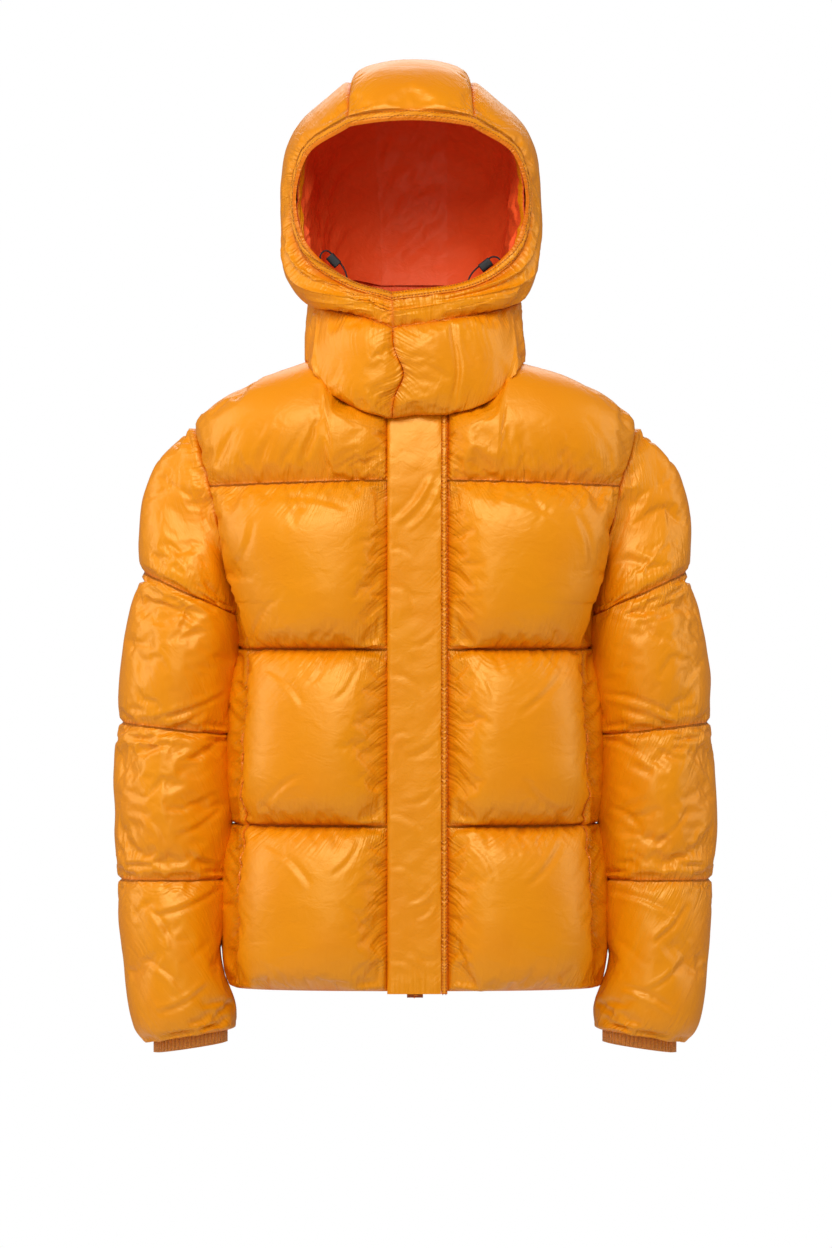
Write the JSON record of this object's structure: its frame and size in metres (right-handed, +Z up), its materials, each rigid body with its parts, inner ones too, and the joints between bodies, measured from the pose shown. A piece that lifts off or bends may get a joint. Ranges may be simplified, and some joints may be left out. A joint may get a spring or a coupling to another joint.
{
  "type": "hooded puffer jacket",
  "caption": "Worn, closed puffer jacket: quilted down baffles, raised padded hood with a wrapped neck, wind flap over the front zip, rib cuffs.",
  "frame": {"origin": "on the centre plane between the front and the back, level with the shoulder points, where the wearer's shoulders hold it up", "axes": "+Z up, +X towards the wearer's left, the front faces -Y"},
  "size_m": [0.6518, 0.3145, 1.0846],
  "materials": {
    "nylon": "glossy orange nylon, finely creased",
    "lining": "satin red-orange lining",
    "knit": "matt orange rib knit",
    "lock": "black, finely ridged",
    "cord": "black braided elastic"
  },
  "bodies": {
    "root": {"front_right": "nylon", "front_left": "nylon", "back": "nylon", "side_right": "nylon", "side_left": "nylon", "sleeve_right": "nylon", "sleeve_left": "nylon", "cuff_right": "knit", "cuff_left": "knit", "zip": "nylon", "placket": "nylon", "placket_band": "nylon", "pocket_welt_right": "nylon", "pocket_welt_left": "nylon", "neck_right": "nylon", "neck_left": "nylon", "collar": "nylon", "hood_side_right": "nylon", "hood_side_left": "nylon", "hood_centre": "nylon", "hood_rim": "nylon", "hood_lining": "lining", "cord_lock_right": "lock", "cord_right": "cord", "cord_lock_left": "lock", "cord_left": "cord"}
  },
  "joints": []
}
